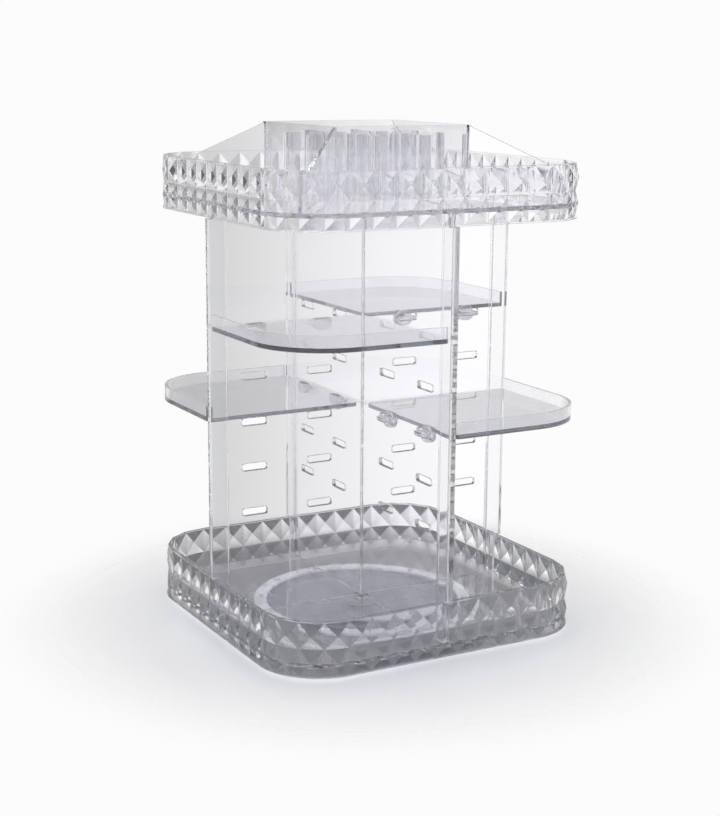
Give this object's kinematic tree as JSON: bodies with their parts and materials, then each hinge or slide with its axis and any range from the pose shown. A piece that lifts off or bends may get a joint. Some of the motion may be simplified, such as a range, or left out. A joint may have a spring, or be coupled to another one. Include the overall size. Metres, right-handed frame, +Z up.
{
  "type": "rotating makeup organizer",
  "caption": "Clear rotating cosmetics organizer: faceted base tray on a ball race, crossed slotted panels, hook-on corner shelves and a lift-off top tray with a brush box.",
  "frame": {"origin": "on the table, under the middle of the foot plate", "axes": "+Z up along the turning axis, +X along the front panel face to the right, +Y to the back"},
  "size_m": [0.22, 0.22, 0.32],
  "materials": {
    "clear_plastic": "clear moulded plastic, polished",
    "cage_plastic": "white moulded plastic, satin",
    "bearing_steel": "polished steel",
    "washer_steel": "zinc-plated steel",
    "foot_rubber": "grey translucent rubber, matte"
  },
  "bodies": {
    "stand": {"foot_plate": "clear_plastic", "rubber_foot_1": "foot_rubber", "rubber_foot_2": "foot_rubber", "rubber_foot_3": "foot_rubber", "rubber_foot_4": "foot_rubber", "rubber_foot_5": "foot_rubber", "rubber_foot_6": "foot_rubber"},
    "ball_race": {"ball_cage": "cage_plastic", "bearing_balls": "bearing_steel"},
    "carousel": {"base_tray": "clear_plastic", "panel_right": "clear_plastic", "panel_back": "clear_plastic", "panel_left": "clear_plastic", "panel_front": "clear_plastic", "pivot_washer": "washer_steel", "pivot_screw": "washer_steel"},
    "top": {"top_tray": "clear_plastic"},
    "shelf_back_right": {"shelf_back_right": "clear_plastic"},
    "shelf_back_left": {"shelf_back_left": "clear_plastic"},
    "shelf_front_left": {"shelf_front_left": "clear_plastic"},
    "shelf_front_right": {"shelf_front_right": "clear_plastic"}
  },
  "joints": [
    {"name": "turntable_spin", "type": "hinge", "parent": "stand", "child": "carousel", "pos_m": [0, 0, 0], "axis": [0, 0, 1], "continuous": true},
    {"name": "race_spin", "type": "hinge", "parent": "stand", "child": "ball_race", "pos_m": [0, 0, 0], "axis": [0, 0, 1], "continuous": true},
    {"name": "top_lift", "type": "slide", "parent": "carousel", "child": "top", "axis": [0, 0, 1], "range_m": [0, 0.06]},
    {"name": "shelf_back_right_pull", "type": "slide", "parent": "carousel", "child": "shelf_back_right", "axis": [0, 1, 0], "range_m": [0, 0.115]},
    {"name": "shelf_back_left_pull", "type": "slide", "parent": "carousel", "child": "shelf_back_left", "axis": [-1, 0, 0], "range_m": [0, 0.115]},
    {"name": "shelf_front_left_pull", "type": "slide", "parent": "carousel", "child": "shelf_front_left", "axis": [0, -1, 0], "range_m": [0, 0.115]},
    {"name": "shelf_front_right_pull", "type": "slide", "parent": "carousel", "child": "shelf_front_right", "axis": [1, 0, 0], "range_m": [0, 0.115]}
  ],
  "couplings": [
    {"joint": "race_spin", "follows": "turntable_spin", "ratio": 0.5}
  ]
}
